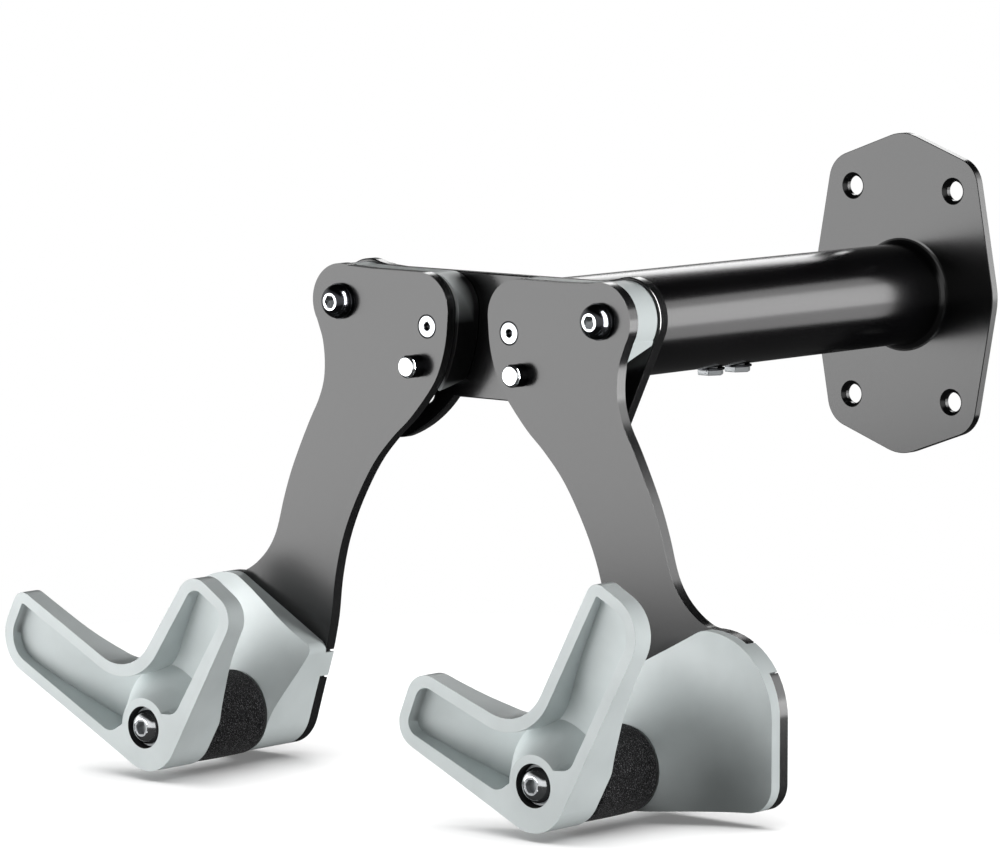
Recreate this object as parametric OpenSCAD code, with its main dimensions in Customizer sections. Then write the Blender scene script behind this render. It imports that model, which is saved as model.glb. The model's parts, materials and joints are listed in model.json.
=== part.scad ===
// Bike wall mount: a wall plate with a telescopic tube, and a head with two swinging arms.
// Each arm ends in a flared shield, a foam sleeve and a V hook, which together hold a bicycle's top tube.
// The origin is the middle of the wall plate's back face. Z is up and the mount reaches out along -Y.
// Outlines are drawn as seen from the front (X to the right, Z up) for the right-hand side,
// and the left-hand side is their mirror image.

/* [Wall plate] */
// Height of the wall plate over its two rounded points
wall_h = 137.5; // [110:0.5:170]
// Width of the wall plate at its waist
wall_w = 96.5; // [85:0.5:130]
// Thickness of the wall plate
wall_t = 4; // [3:0.5:8]
// Distance between the two columns of wall screw holes
screw_dx = 53.6; // [50:0.2:60]
// Distance between the two rows of wall screw holes
screw_dz = 91; // [70:1:96]
// Diameter of a wall screw hole
screw_d = 8.4; // [5:0.1:9.4]

/* [Telescopic tube] */
// Outer diameter of the main tube
tube_d = 43.5; // [38:0.5:46]
// Wall thickness of both tubes
tube_wall = 2; // [1.5:0.1:3]
// Distance from the wall to the back of the head plate with the tube pushed in
head_reach = 267; // [240:1:320]
// How far the head can be drawn out
reach_travel = 70; // [0:1:80]
// Distance from the wall to the nearer lock bolt
lock_reach = 118; // [110:1:130]
// Distance between the two lock bolts
lock_pitch = 18; // [16:1:24]

/* [Head and pivots] */
// Thickness of the head plate
head_t = 5; // [4:0.5:8]
// Half the distance between the two arm pivots
pivot_x = 67.8; // [64:0.2:76]
// Height of the arm pivots above the tube's axis
pivot_z = 12.4; // [10:0.2:14]
// Radius of the circle of index holes about each pivot
index_r = 46.9; // [44:0.1:48]
// Angle between neighbouring index holes
index_step = 20; // [18:1:22]
// Diameter of a lock pin
pin_d = 9.2; // [8:0.1:10]
// How far a lock pin moves between free and locked
pin_travel = 5; // [3:0.5:5]

/* [Arms] */
// Thickness of an arm plate
arm_t = 5; // [4:0.5:8]
// Thickness of the plastic spacer behind an arm plate
spacer_t = 12.2; // [11:0.2:20]
// Distance from the middle of the mount to a hook bolt
hub_x = 102.2; // [98:0.2:108]
// Distance of the hook bolts below the tube's axis
hub_drop = 155; // [145:1:170]

/* [Cradles] */
// Height of a shield at its hub, measured from the arm plate
shield_h = 25.6; // [20:0.2:32]
// Thickness of a shield at its rim
shield_rim = 5; // [3:0.5:7]
// Reach of a shield outwards from the hook bolt
shield_out = 55; // [45:1:65]
// Reach of a shield upwards from the hook bolt
shield_up = 52.4; // [45:0.2:60]
// Outer diameter of the foam sleeve
foam_d = 34.4; // [30:0.2:36]
// Length of the foam sleeve, which is the width of the groove for the bicycle's tube
foam_l = 32.8; // [28:0.2:45]
// Thickness of a hook at its hub
hook_t = 20.8; // [16:0.2:24]
// Thickness of a hook at the ends of its limbs
hook_tip_t = 8.8; // [8:0.2:12]
// Reach of the long limb of a hook from the bolt
long_reach = 85.2; // [70:0.5:100]
// Reach of the short limb of a hook from the bolt
short_reach = 69.8; // [60:0.5:80]
// Angle between the two limbs of a hook
limb_angle = 96; // [88:1:104]
// Angle of the left hook's long limb in its resting position
left_hook_turn = 153.5; // [130:0.5:170]
// Angle of the right hook's long limb in its resting position
right_hook_turn = 61.5; // [40:0.5:90]

/* [Hidden] */
$fn = 72;

// Clearances: between sliding rounds, between sliding flats, and round a screw in its hole
run_gap = 0.05;
flat_gap = 0.2;
screw_gap = 0.2;
overshoot = 1;

// Colours
black = [0.13, 0.13, 0.14];
grey = [0.74, 0.77, 0.77];
foam_black = [0.08, 0.08, 0.08];
steel = [0.8, 0.8, 0.82];
dark_steel = [0.35, 0.35, 0.37];
nylon = [0.9, 0.9, 0.88];

// Screw sizes: M8 pivots and hook bolts, M6 lock bolts, M5 spacer screws
m8_r = 4;
m8_head_r = 7;
m8_head_h = 5;
m8_socket = 5;
m8_nut = 13;
m8_nut_h = 8;
m8_washer_r = 8;
m8_washer_t = 1.5;
m6_r = 3;
m6_head = 10;
m6_head_h = 2.3;
m6_washer_r = 6;
m6_washer_t = 0.8;
m5_r = 2.5;
m5_head_r = 4.75;
m5_nut = 8;
m5_nut_h = 4;
m5_socket = 2.5;

// Wall plate outline: rounded points above and below, shoulders, and a bluntly pointed waist
wall_shoulder = [wall_w / 2 - 9.9, wall_h / 2 - 11.9];
wall_point_r = 20;
wall_shoulder_r = 13;
wall_waist_r = 30;
wall_point_rise = 2;
screw_sink = 1.5;
weld_leg = 3.2;

// Tubes
tube_r = tube_d / 2;
tube_bore = tube_r - tube_wall;
inner_r = tube_bore - run_gap;
inner_bore = inner_r - tube_wall;
head_weld_leg = 1.8;
tube_end = head_reach - head_weld_leg - 0.5;
inner_start = lock_reach - reach_travel - 18;
slot_end_gap = 1;
clamp_bar_h = 5;
clamp_bar_w = 14;
clamp_bar_l = lock_pitch + 14;

// Distances from the wall of the head's layers
head_front = head_reach + head_t;
spacer_back = head_front + flat_gap;
arm_back = spacer_back + spacer_t;
arm_front = arm_back + arm_t;

// Head plate outline
pivot = [pivot_x, pivot_z];
head_ear_r = 16.1;
head_top = pivot_z + 13.6;
head_belly = 24.4;
lobe_wall = 11.4;
lobe_r = index_r + lobe_wall;
pin_angle = 210.2;
pin_r = pin_d / 2;
pin_at = pivot + index_r * [cos(pin_angle), sin(pin_angle)];
index_holes = 3;
last_index = pivot + index_r * [cos(pin_angle + (index_holes - 1) * index_step),
    sin(pin_angle + (index_holes - 1) * index_step)];
spacer_screw_at = pivot + index_r * [cos(189.2), sin(189.2)];

// Spacer: inset from the arm's edge, ledge beyond its inner edge, depth of the foot and its two slants
spacer_inset = 0.3;
spacer_ledge = 1.5;
spacer_foot = 15.5;
foot_lean = 22;
foot_slope = -17;

// Pivot stack
bush_r = 5.5;
bush_end = arm_front + 0.1;

// Lock pin
pin_out = 6.4;
pin_nose_gap = 0.4;
pin_collar_r = 6.2;
pin_collar_t = 2;
pin_chamfer = 0.9;
pin_ring_thick = 1.8;

// Arm plate outline
arm_ear_r = 15.2;
arm_top = pivot_z + 14;
arm_inner_x = 10.5;
arm_corner_r = 15;
hub = [hub_x, -hub_drop];
arm_span = norm(hub - pivot);
arm_dir = (hub - pivot) / arm_span;
arm_side = [-arm_dir[1], arm_dir[0]];

// Cradle stack, as distances from the wall
core_r = 8;
shield_front = arm_front + shield_h;
foam_gap = 0.3;
foam_front = shield_front + foam_gap + foam_l;
hook_back = foam_front + foam_gap;
hook_front = hook_back + hook_t;
swivel_r = core_r + 3;
swivel_t = 1;
core_front = hook_back - flat_gap - swivel_t;
hook_bore = m8_r + run_gap;
sink_r = 8.5;
sink_depth = 5.2;
sink_floor = hook_front - sink_depth;

// Shield outline and flare
hub_r = 17;
shield_in = 26.6;
shield_in_up = 26.5;
shield_top_r = 31.5;
shield_foot = 15;
shield_foot_r = 11;
flare_power = 2.1;
flare_steps = 14;
clip_depth = 2;
clip_from = 34;
clip_to = 61;
clip_gap = 0.15;

// Hook outline
limb_low = 16.6;
limb_high = 13.4;
short_in = 13.4;
short_out = 15.5;
tip_r = 10;
long_tip_r = 16;
tip_inner_r = 5.5;
crotch_r = 20;
hook_hub_r = 16.5;
hook_rim = 4.6;
hook_floor = 4.2;
pocket_tip = 3.4;
boss_r = 11.8;
boss_slope = 0.8;
pocket_stop = 15;
pocket_end_r = 6.5;
flare_end = 57;

// Points of an arc about c, counter-clockwise from angle a to angle b when b is larger
function arc(c, r, a, b, step = 6) =
    let (n = max(1, ceil(abs(b - a) / step)))
    [for (i = [0:n]) c + r * [cos(a + (b - a) * i / n), sin(a + (b - a) * i / n)]];

// Points of one rounded corner at p between the points before and after it
function corner(before, p, after, r, step = 6) =
    let (u = (before - p) / norm(before - p), v = (after - p) / norm(after - p),
        half = acos(max(-1, min(1, u * v))) / 2,
        reach = r / tan(half),
        middle = p + (u + v) / norm(u + v) * r / sin(half),
        from = p + u * reach - middle, to = p + v * reach - middle,
        a = atan2(from[1], from[0]), b = atan2(to[1], to[0]),
        turn = b - a > 180 ? b - a - 360 : b - a < -180 ? b - a + 360 : b - a)
    arc(middle, r, a, a + turn, step);

// A closed outline from corners given as [x, z, radius]
function rounded(c) =
    let (n = len(c))
    [for (i = [0:n - 1])
        let (p = c[i], q = c[(i + n - 1) % n], s = c[(i + 1) % n])
        each corner([q[0], q[1]], [p[0], p[1]], [s[0], s[1]], p[2])];

// A smooth curve through the points p, with n steps between neighbours
function through(a, b, c, d, t) =
    0.5 * (2 * b + (c - a) * t + (2 * a - 5 * b + 4 * c - d) * t * t
    + (3 * b - a - 3 * c + d) * t * t * t);
function smooth(p, n = 4) =
    let (m = len(p) - 1)
    [for (i = [0:m - 1]) for (k = [0:n - 1])
        through(p[max(i - 1, 0)], p[i], p[i + 1], p[min(i + 2, m)], k / n), p[m]];

// Place on the arm: a share of the way from pivot to hook bolt, and a distance to the outer side
function on_arm(share, side) = pivot + arm_dir * arm_span * share + arm_side * side;

// Puts a front-view outline at a distance from the wall, thickened away from the wall
module plate(from, to) {
    translate([0, -from, 0]) rotate([90, 0, 0]) linear_extrude(to - from) children();
}

// A round bar along Y from one distance to another, at a place in the front view
module bar(at, r, from, to, r_far = -1) {
    translate([at[0], -from, at[1]]) rotate([90, 0, 0])
        cylinder(h = to - from, r1 = r, r2 = r_far < 0 ? r : r_far);
}

// A hexagonal bar along Y, measured across its flats
module hex_bar(at, flats, from, to) {
    translate([at[0], -from, at[1]]) rotate([90, 0, 0])
        cylinder(h = to - from, r = flats / sqrt(3), $fn = 6);
}

// A body turned about an axis along Y, from a profile of [radius, distance from the wall]
module turned(at) {
    translate([at[0], 0, at[1]]) rotate([90, 0, 0]) rotate_extrude($fn = 96) children();
}

module on_left() {
    mirror([1, 0, 0]) children();
}

module wall_outline() {
    top = wall_h / 2 + wall_point_rise;
    quarter = [wall_shoulder[0], wall_shoulder[1], wall_shoulder_r];
    polygon(rounded([
        [0, top, wall_point_r],
        [-quarter[0], quarter[1], quarter[2]],
        [-wall_w / 2 - 0.5, 0, wall_waist_r],
        [-quarter[0], -quarter[1], quarter[2]],
        [0, -top, wall_point_r],
        [quarter[0], -quarter[1], quarter[2]],
        [wall_w / 2 + 0.5, 0, wall_waist_r],
        quarter]));
}

module wall_plate() {
    color(black) difference() {
        plate(0, wall_t) wall_outline();
        for (x = [-1, 1]) for (z = [-1, 1]) {
            at = [x * screw_dx / 2, z * screw_dz / 2];
            bar(at, screw_d / 2, -overshoot, wall_t + overshoot);
            bar(at, screw_d / 2, wall_t - screw_sink, wall_t, screw_d / 2 + screw_sink);
            bar(at, screw_d / 2 + screw_sink, wall_t, wall_t + overshoot);
        }
    }
}

// Fillet weld with a hollow face, round a tube of radius r from the face at distance d
module weld_ring(r, leg, d, away) {
    turned([0, 0]) polygon(concat([[r, d]],
        [for (p = arc([r + leg, d + away * leg], leg, 180, 180 + away * 90, 15)) p]));
}

module wall_weld() {
    color(black) weld_ring(tube_r, weld_leg, wall_t, 1);
}

module main_tube() {
    color(black) difference() {
        bar([0, 0], tube_r, wall_t, tube_end);
        bar([0, 0], tube_bore, wall_t + tube_wall, tube_end + overshoot);
        for (i = [0, 1])
            translate([0, -lock_reach - i * lock_pitch, -tube_r - overshoot])
                cylinder(h = tube_wall * 2 + overshoot, r = m6_r + screw_gap);
    }
}

// Hexagon bolts that come up through the tube and its slot into the clamp bar
module lock_bolts() {
    top = -inner_bore + clamp_bar_h;
    color(steel) for (i = [0, 1])
        translate([0, -lock_reach - i * lock_pitch, 0]) {
            translate([0, 0, -tube_r - m6_washer_t - m6_head_h])
                cylinder(h = m6_head_h, r = m6_head / sqrt(3), $fn = 6);
            translate([0, 0, -tube_r - m6_washer_t - 0.1])
                cylinder(h = top + tube_r + m6_washer_t + 0.1, r = m6_r);
        }
}

module lock_washers() {
    color(steel) for (i = [0, 1])
        translate([0, -lock_reach - i * lock_pitch, -tube_r - m6_washer_t])
            difference() {
                cylinder(h = m6_washer_t, r = m6_washer_r);
                translate([0, 0, -overshoot])
                    cylinder(h = m6_washer_t + 2 * overshoot, r = m6_r + run_gap);
            }
}

// Threaded bar inside the inner tube, which the lock bolts draw down onto it
module clamp_bar() {
    color(dark_steel) difference() {
        intersection() {
            bar([0, 0], inner_bore - run_gap, lock_reach - (clamp_bar_l - lock_pitch) / 2,
                lock_reach + (clamp_bar_l + lock_pitch) / 2);
            translate([-clamp_bar_w / 2, -lock_reach - clamp_bar_l, -tube_r])
                cube([clamp_bar_w, 2 * clamp_bar_l, tube_r - inner_bore + clamp_bar_h]);
        }
        for (i = [0, 1])
            translate([0, -lock_reach - i * lock_pitch, -tube_r])
                cylinder(h = tube_r, r = m6_r + run_gap);
    }
}

module inner_tube() {
    slot_half = m6_r + screw_gap;
    slot_from = lock_reach - reach_travel - slot_half - slot_end_gap;
    slot_to = lock_reach + lock_pitch + slot_half + slot_end_gap;
    color(dark_steel) difference() {
        bar([0, 0], inner_r, inner_start, head_reach);
        bar([0, 0], inner_bore, inner_start - overshoot, head_reach + overshoot);
        for (d = [slot_from + slot_half, slot_to - slot_half])
            translate([0, -d, -tube_r]) cylinder(h = 2 * tube_wall + 1, r = slot_half);
        translate([-slot_half, -slot_to + slot_half, -tube_r])
            cube([2 * slot_half, slot_to - slot_from - 2 * slot_half, 2 * tube_wall + 1]);
    }
}

// Right half of the head plate: ear about the pivot, straight flank, lobe round the index holes
function head_half() =
    let (flank = last_index - pivot,
        lean = atan2(flank[1], flank[0]),
        spread = acos((head_ear_r - lobe_wall) / norm(flank)))
    concat(
        [[0, head_top], [pivot_x - 17, head_top], [pivot_x - 11, head_top + 0.4]],
        [for (p = arc(pivot, head_ear_r, 110, lean + spread)) p],
        [for (p = arc(last_index, lobe_wall, lean + spread, pin_angle - 360
            + (index_holes - 1) * index_step)) p],
        [for (p = arc(pivot, lobe_r, pin_angle - 361 + (index_holes - 1) * index_step,
            -180 + asin((head_belly + pivot_z) / lobe_r), 3)) p]);

// The whole head plate outline: the right half, and its mirror image in the opposite order
function head_outline() =
    let (half = head_half(), n = len(half))
    concat(half, [for (i = [n - 1:-1:1]) [-half[i][0], half[i][1]]]);

module head_plate() {
    color(black) difference() {
        plate(head_reach, head_front) polygon(head_outline());
        for (s = [-1, 1]) {
            bar([s * pivot_x, pivot_z], m8_r + run_gap, head_reach - overshoot, head_front + overshoot);
            for (i = [0:index_holes - 1]) {
                a = pin_angle + i * index_step;
                bar([s * (pivot_x + index_r * cos(a)), pivot_z + index_r * sin(a)],
                    pin_r + screw_gap, head_reach - overshoot, head_front + overshoot);
            }
        }
    }
}

module head_weld() {
    color(black) weld_ring(inner_r, head_weld_leg, head_reach, -1);
}

// Dome-head screw along -Y: its head stands on the face at distance d, its shank ends at distance tip
module dome_screw(at, d, tip) {
    flat_r = 3.5;
    color(dark_steel) difference() {
        union() {
            turned(at) polygon(concat([[0, d], [m8_head_r, d], [m8_head_r, d + 0.5]],
                smooth([[m8_head_r, d + 0.5], [m8_head_r - 0.4, d + 2.2],
                    [m8_head_r - 1.6, d + 4], [flat_r, d + m8_head_h]], 4),
                [[0, d + m8_head_h]]));
            bar(at, m8_r, tip, d + 0.1);
        }
        hex_bar(at, m8_socket, d + m8_head_h - 3, d + m8_head_h + overshoot);
    }
}

module lock_nut(at, from, to) {
    color(steel) difference() {
        union() {
            hex_bar(at, m8_nut, from + 2, to);
            bar(at, m8_nut / 2 - 0.7, from, from + 2.1);
        }
        bar(at, m8_r + run_gap, from - overshoot, to + overshoot);
    }
}

module washer(at, r, from, to) {
    difference() {
        bar(at, r, from, to);
        bar(at, m8_r + run_gap, from - overshoot, to + overshoot);
    }
}

module pivot_bolt() {
    dome_screw(pivot, bush_end + m8_washer_t, head_reach - m8_washer_t - m8_nut_h - 1);
}

module pivot_washers() {
    color(dark_steel) {
        washer(pivot, m8_head_r + 0.3, bush_end, bush_end + m8_washer_t);
        washer(pivot, m8_washer_r, head_reach - m8_washer_t, head_reach);
    }
}

module pivot_bush() {
    color(steel) washer(pivot, bush_r, head_front, bush_end);
}

module pivot_nut() {
    lock_nut(pivot, head_reach - m8_washer_t - m8_nut_h, head_reach - m8_washer_t);
}

// Corners of the shield and of the arm's paddle under it, drawn in from its edge by inset
function paddle_corners(inset) = [
    [hub_x - shield_in + inset * 1.2, -hub_drop + shield_in_up - inset * 1.2, max(4 - inset, 1)],
    [hub_x + 20.5 - inset * 0.3, -hub_drop + shield_up + 0.2 - inset, 10 - inset],
    [hub_x + shield_out - inset, -hub_drop + shield_up - inset, shield_top_r - inset],
    [hub_x + shield_out - inset, -hub_drop - shield_foot + inset, shield_foot_r - inset],
    [hub_x - 12.4 + inset * 0.7, -hub_drop - hub_r + inset, hub_r - inset]];
function paddle(inset) = rounded(paddle_corners(inset));

// The paddle's edge below the neck: from the inner corner round the foot to the top of the outer edge
function paddle_edge() =
    let (c = paddle_corners(0), at = [for (p = c) [p[0], p[1]]])
    [for (i = [4:-1:2]) each corner(at[(i + 1) % 5], at[i], at[i - 1], c[i][2])];

// Upper part of the arm's outline above the neck, shared by the arm plate and its spacer
function arm_head(inset, ledge) = concat(
    [for (p = arc(pivot, arm_ear_r - inset, -32, 108)) p],
    [[pivot_x - 12, arm_top + 0.2 - inset], [pivot_x - 17, arm_top - inset]],
    [for (p = arc([arm_inner_x - ledge + arm_corner_r - inset, arm_top - arm_corner_r],
        arm_corner_r - inset, 90, 180)) p]);

// Inner edge of the neck, from the head down to the paddle
function neck_inner(ledge) = smooth([
    [arm_inner_x - ledge, arm_top - arm_corner_r],
    [pivot_x - 56.3 - ledge, pivot_z - 12.4],
    [pivot_x - 53.5 - ledge, pivot_z - 22.6],
    [pivot_x - 48.8 - ledge, pivot_z - 31.6],
    on_arm(0.21, -45.9), on_arm(0.272, -38), on_arm(0.349, -30.2), on_arm(0.456, -23.6),
    on_arm(0.555, -20), on_arm(0.652, -19.3), on_arm(0.745, -20.5),
    [hub_x - shield_in + 0.4, -hub_drop + shield_in_up]]);

// Outer edge of the neck, from the paddle up to the ear
function neck_outer() = smooth([
    [hub_x + 22.8, -hub_drop + shield_up + 0.1], [hub_x + 18.8, -hub_drop + shield_up + 1],
    [hub_x + 12.8, -hub_drop + shield_up + 4.5], [hub_x + 6.8, -hub_drop + shield_up + 10],
    on_arm(0.61, 16.4), on_arm(0.57, 15.2), on_arm(0.51, 14.4), on_arm(0.44, 12.7),
    on_arm(0.369, 9.9), on_arm(0.299, 6.6), on_arm(0.25, 3.9), on_arm(0.2, 2.6), on_arm(0.15, 3.7),
    on_arm(0.105, 6.3), on_arm(0.079, 9), pivot + arm_ear_r * [cos(-32), sin(-32)]], 3);

module arm_outline() {
    polygon(concat(arm_head(0, 0), neck_inner(0), paddle_edge(), neck_outer()));
}

// The two places where the shield's clips reach back over the edge of the arm plate
module clip_zone(spread) {
    top_c = [hub_x + shield_out - shield_top_r, -hub_drop + shield_up - shield_top_r];
    difference() {
        union() {
            intersection() {
                polygon(paddle(0));
                polygon([top_c, top_c + 60 * [cos(clip_from - spread), sin(clip_from - spread)],
                    top_c + 60 * [cos(clip_to + spread), sin(clip_to + spread)]]);
            }
            intersection() {
                polygon(paddle(0));
                translate([hub_x - shield_in - 8, -hub_drop + 13.5 - spread])
                    square([20, 10 + 2 * spread]);
            }
        }
        polygon(paddle(clip_depth + spread * clip_gap));
    }
}

module arm_plate() {
    color(black) difference() {
        plate(arm_back, arm_front) difference() {
            arm_outline();
            clip_zone(1);
        }
        bar(pivot, bush_r + run_gap, arm_back - overshoot, arm_front + overshoot);
        bar(pin_at, pin_r + run_gap, arm_back - overshoot, arm_front + overshoot);
        bar(spacer_screw_at, m5_r + screw_gap, arm_back - overshoot, arm_front + overshoot);
        bar(spacer_screw_at, m5_r, arm_front - m5_head_r + m5_r, arm_front, m5_head_r + 0.1);
        bar(hub, m8_r + screw_gap, arm_back - overshoot, arm_front + overshoot);
    }
}

// Spacer outline: the arm's head, before its foot is cut on the slant
module spacer_outline() {
    polygon(concat(arm_head(spacer_inset, spacer_ledge), neck_inner(spacer_ledge), neck_outer()));
}

// Everything below the spacer's foot, which rises outwards and towards the wall
module below_spacer() {
    translate([pivot_x + arm_ear_r - 4.8, -arm_back, pivot_z - spacer_foot])
        rotate([foot_lean, foot_slope, 0])
        translate([-200, -200, -300]) cube([400, 400, 300]);
}

module spacer() {
    pocket_to = arm_back + overshoot;
    pocket_from = arm_back - pin_collar_t - pin_travel - 0.4;
    ring_middle = (spacer_back + pocket_from) / 2;
    color(grey) difference() {
        union() {
            difference() {
                plate(spacer_back, arm_back) spacer_outline();
                below_spacer();
            }
            bar(pin_at, pin_r + pin_ring_thick + 2.6, spacer_back, arm_back);
        }
        bar(pivot, bush_r + run_gap, spacer_back - overshoot, arm_back + overshoot);
        bar(pin_at, pin_r + run_gap, spacer_back - overshoot, arm_back + overshoot);
        bar(pin_at, pin_collar_r + 0.3, pocket_from, pocket_to);
        bar(pin_at, pin_r + pin_ring_thick + 0.15, ring_middle - pin_ring_thick / 2 - 0.1,
            ring_middle + pin_ring_thick / 2 + 0.1);
        bar(spacer_screw_at, m5_r + screw_gap, spacer_back - overshoot, arm_back + overshoot);
        hex_bar(spacer_screw_at, m5_nut + 0.2, spacer_back - overshoot, spacer_back + m5_nut_h + 0.3);
    }
}

module spacer_screw() {
    color(steel) difference() {
        union() {
            bar(spacer_screw_at, m5_r, arm_front - m5_head_r + m5_r, arm_front, m5_head_r);
            bar(spacer_screw_at, m5_r, spacer_back + 0.3, arm_front - 1);
        }
        hex_bar(spacer_screw_at, m5_socket, arm_front - 1.6, arm_front + overshoot);
    }
}

module spacer_nut() {
    color(steel) difference() {
        hex_bar(spacer_screw_at, m5_nut, spacer_back + 0.2, spacer_back + 0.2 + m5_nut_h);
        bar(spacer_screw_at, m5_r + run_gap, spacer_back - overshoot, arm_back);
    }
}

// Rubber ring in the spacer that holds the lock pin by friction
module pin_ring() {
    middle = (spacer_back + arm_back - pin_collar_t - pin_travel - 0.4) / 2;
    color(foam_black) turned(pin_at)
        translate([pin_r + run_gap + pin_ring_thick / 2, middle]) circle(pin_ring_thick / 2, $fn = 32);
}

// Lock pin drawn out to its free position: its collar lies behind the arm plate
module lock_pin() {
    tip = arm_front + pin_out;
    nose = head_front + pin_nose_gap;
    collar = arm_back - 0.1;
    color(steel) turned(pin_at) polygon([[0, nose], [pin_r - pin_chamfer, nose],
        [pin_r, nose + pin_chamfer], [pin_r, collar - pin_collar_t],
        [pin_collar_r, collar - pin_collar_t], [pin_collar_r, collar], [pin_r, collar],
        [pin_r, tip - pin_chamfer], [pin_r - pin_chamfer, tip], [0, tip]]);
}

// Trumpet-shaped body of revolution that gives the shield its hollow flare
module flare() {
    turned(hub) polygon(concat([[0, arm_front], [0, shield_front], [hub_r, shield_front]],
        [for (i = [1:flare_steps])
            let (k = 1 - i / flare_steps)
            [hub_r + (shield_out - hub_r) * (1 - k),
                arm_front + shield_rim + (shield_h - shield_rim) * pow(k, flare_power)]],
        [[3 * shield_out, arm_front + shield_rim], [3 * shield_out, arm_front]]));
}

module shield() {
    color(grey) difference() {
        union() {
            intersection() {
                flare();
                plate(arm_front, shield_front + overshoot) polygon(paddle(0));
            }
            plate(arm_back, arm_front + 0.5) clip_zone(0);
        }
        bar(hub, core_r + run_gap, arm_front - overshoot, shield_front + overshoot);
    }
}

// Steel tube that carries the foam and keeps the hook off the shield
module core_tube() {
    color(steel) washer(hub, core_r, arm_front, core_front);
}

module foam_sleeve() {
    color(foam_black) difference() {
        bar(hub, foam_d / 2, shield_front + foam_gap, foam_front);
        bar(hub, core_r + run_gap, shield_front, foam_front + overshoot);
        bar(hub, swivel_r + flat_gap, core_front - flat_gap, foam_front + overshoot);
    }
}

module hook_bolt() {
    dome_screw(hub, sink_floor + m8_washer_t + 0.1, arm_back - m8_washer_t - m8_nut_h - 1);
}

// A steel washer in the hook's sink and one under the nut
module hook_washers() {
    color(dark_steel) {
        washer(hub, m8_washer_r, sink_floor + 0.1, sink_floor + 0.1 + m8_washer_t);
        washer(hub, m8_washer_r, arm_back - m8_washer_t, arm_back);
    }
}

// Nylon washer between the core tube and the hook, which turns on it
module swivel_washer() {
    color(nylon) washer(hub, swivel_r, core_front, hook_back - flat_gap);
}

module hook_nut() {
    lock_nut(hub, arm_back - m8_washer_t - m8_nut_h, arm_back - m8_washer_t);
}

// Hook outline about its bolt, long limb along +X, drawn in from its edge by inset
function hook_outline(inset) =
    let (turn = -limb_angle,
        u = [cos(turn), sin(turn)], n = [-sin(turn), cos(turn)],
        long_end = long_reach - inset, short_end = short_reach - inset,
        low = limb_low - inset, high = limb_high - inset,
        inner = short_in - inset, outer = short_out - inset,
        crotch_x = (inner - high * n[1]) / n[0],
        heel_x = (-outer + low * n[1]) / n[0])
    rounded([
        [long_end, low, long_tip_r - inset],
        [heel_x, low, hook_hub_r - inset],
        [(u * short_end - n * outer)[0], (u * short_end - n * outer)[1], tip_r - inset],
        [(u * short_end + n * inner)[0], (u * short_end + n * inner)[1], tip_r - inset],
        [crotch_x, -high, crotch_r + inset],
        [long_end, -high, tip_inner_r - inset]]);

// Outline of the hook's pocket: it runs along both limbs, inside the rim, to the hub's cone-shaped boss
function pocket_outline() =
    let (turn = -limb_angle,
        u = [cos(turn), sin(turn)], n = [-sin(turn), cos(turn)],
        long_end = long_reach - hook_rim, short_end = short_reach - hook_rim,
        low = limb_low - hook_rim, high = limb_high - hook_rim,
        inner = short_in - hook_rim, outer = short_out - hook_rim,
        tip = tip_r - hook_rim,
        places = [
            [[long_end, low], long_tip_r - hook_rim],
            [[pocket_stop, low], pocket_end_r],
            [[pocket_stop / 2, 0], 1],
            [u * pocket_stop / 2, 1],
            [u * pocket_stop - n * outer, pocket_end_r],
            [u * short_end - n * outer, tip],
            [u * short_end + n * inner, tip],
            [[(inner - high * n[1]) / n[0], -high], crotch_r + hook_rim],
            [[long_end, -high], max(1, tip_inner_r - hook_rim)]])
    rounded([for (p = places) [p[0][0], p[0][1], p[1]]]);

// Side view of a limb in front of a curve through [reach, depth below the hook's front] places
module limb_side(curve) {
    rotate([90, 0, 0]) translate([0, 0, -2 * long_reach]) linear_extrude(4 * long_reach)
        polygon(concat([[-long_reach, hook_t - curve[0][1]]],
            [for (q = smooth(curve, 3)) [q[0], hook_t - q[1]]],
            [[curve[len(curve) - 1][0], hook_t + 5], [-long_reach, hook_t + 5]]));
}

// The limb's flared back: full thickness at the hub, thinning in a hollow curve to the tip
function limb_back(reach) =
    let (fall = hook_t - hook_tip_t)
    [[10, hook_t], [14, hook_t - fall * 0.02], [22, hook_t - fall * 0.26], [32, hook_t - fall * 0.52],
        [43, hook_t - fall * 0.78], [flare_end, hook_t - fall * 0.94], [reach + 5, hook_tip_t]];

// The pocket's floor: shallow at the tip and deep at the hub
function limb_floor(reach) =
    let (deep = hook_t - hook_floor, fall = deep - pocket_tip)
    [[10, deep], [14, deep], [28, deep - fall * 0.24], [43, deep - fall * 0.52],
        [flare_end, deep - fall * 0.74], [reach + 5, pocket_tip]];

// What lies in front of the curved backs or floors of both limbs
module before(long_curve, short_curve) {
    intersection() {
        limb_side(long_curve);
        rotate([0, 0, -limb_angle]) limb_side(short_curve);
    }
}

// Hook lying on its back at the origin: front face up, long limb along +X, short limb clockwise of it
module hook_shape() {
    difference() {
        intersection() {
            linear_extrude(hook_t) polygon(hook_outline(0));
            before(limb_back(long_reach), limb_back(short_reach));
        }
        difference() {
            intersection() {
                translate([0, 0, overshoot]) linear_extrude(hook_t) polygon(pocket_outline());
                before(limb_floor(long_reach), limb_floor(short_reach));
            }
            cylinder(h = hook_t + 2 * overshoot, r1 = boss_r + boss_slope * hook_t,
                r2 = boss_r - boss_slope * 2 * overshoot);
        }
        translate([0, 0, -overshoot]) cylinder(h = hook_t + 2 * overshoot, r = hook_bore);
        translate([0, 0, hook_t - sink_depth]) cylinder(h = sink_depth + overshoot, r = sink_r);
    }
}

// Left hook: the long limb points out and up, the short limb lies clockwise of it
module left_hook() {
    color(grey) translate([-hub_x, -hook_back, -hub_drop]) rotate([90, 0, 0])
        rotate([0, 0, left_hook_turn]) hook_shape();
}

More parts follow.
